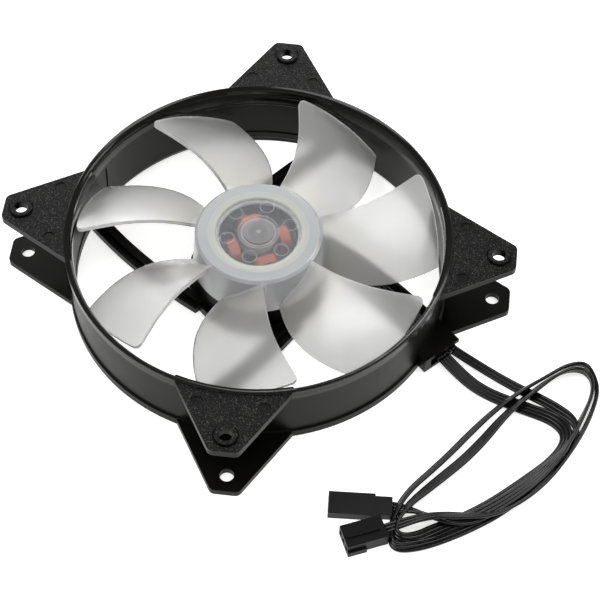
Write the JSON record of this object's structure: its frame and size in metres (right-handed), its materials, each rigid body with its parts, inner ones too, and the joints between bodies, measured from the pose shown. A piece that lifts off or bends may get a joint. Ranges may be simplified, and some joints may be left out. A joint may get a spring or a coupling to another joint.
{
  "type": "case fan",
  "caption": "Axial cooling fan for a computer case: black frame with corner ears, milky translucent impeller, fan and light ribbon cables with connectors.",
  "frame": {"origin": "centre of the fan's back face, on the shaft's axis; the fan lies on its back on z = 0", "axes": "+Z along the shaft from the back (outlet) face to the front (inlet) face; X and Y along the sides of the square; the cables leave towards +X"},
  "size_m": [0.1759, 0.12, 0.025],
  "materials": {
    "frame_plastic": "moulded black PBT, spark-eroded texture on the front ears, polished inlet",
    "milky_plastic": "moulded milky translucent polycarbonate",
    "yoke_steel": "deep-drawn zinc-plated steel",
    "ferrite_rubber": "bonded ferrite",
    "shaft_steel": "ground steel",
    "bush_brass": "turned brass",
    "white_nylon": "nylon",
    "sintered_bronze": "sintered bronze",
    "oil_felt": "felt",
    "core_steel": "stacked laminations",
    "insulator_nylon": "moulded nylon",
    "board_laminate": "solder-masked laminate",
    "chip_epoxy": "moulded epoxy",
    "board_parts": "ceramic",
    "tinned_pin": "tinned wire",
    "label_film": "blank plastic film",
    "wire_pvc": "extruded PVC insulation",
    "plug_nylon_black": "moulded black nylon",
    "plug_nylon_grey": "moulded charcoal nylon",
    "contact_tin": "tin-plated spring contact",
    "copper_wire": "enamelled copper wire",
    "led_resin": "clear resin"
  },
  "bodies": {
    "fan_frame": {"frame": "frame_plastic", "thrust_pad": "white_nylon", "bearing_sleeve": "sintered_bronze", "oil_ring": "oil_felt", "stator_core": "core_steel", "stator_insulator_top": "insulator_nylon", "stator_insulator_bottom": "insulator_nylon", "circuit_board": "board_laminate", "driver_chip": "chip_epoxy", "board_parts": "board_parts", "stator_pins": "tinned_pin", "rear_label": "label_film", "fan_leads": "wire_pvc", "light_leads": "wire_pvc", "fan_cable": "wire_pvc", "light_cable": "wire_pvc", "fan_connector": "plug_nylon_black", "light_connector": "plug_nylon_grey", "fan_contacts": "contact_tin", "light_contacts": "contact_tin", "coil_1": "copper_wire", "led_1": "led_resin", "coil_2": "copper_wire", "led_2": "led_resin", "coil_3": "copper_wire", "led_3": "led_resin", "coil_4": "copper_wire", "led_4": "led_resin"},
    "rotor": {"impeller": "milky_plastic", "rotor_yoke": "yoke_steel", "rotor_magnet": "ferrite_rubber", "rotor_shaft": "shaft_steel", "shaft_boss": "bush_brass", "retaining_washer": "white_nylon"}
  },
  "joints": [
    {"name": "rotor_spin", "type": "hinge", "parent": "fan_frame", "child": "rotor", "pos_m": [0, 0, 0.012], "axis": [0, 0, 1], "continuous": true}
  ]
}
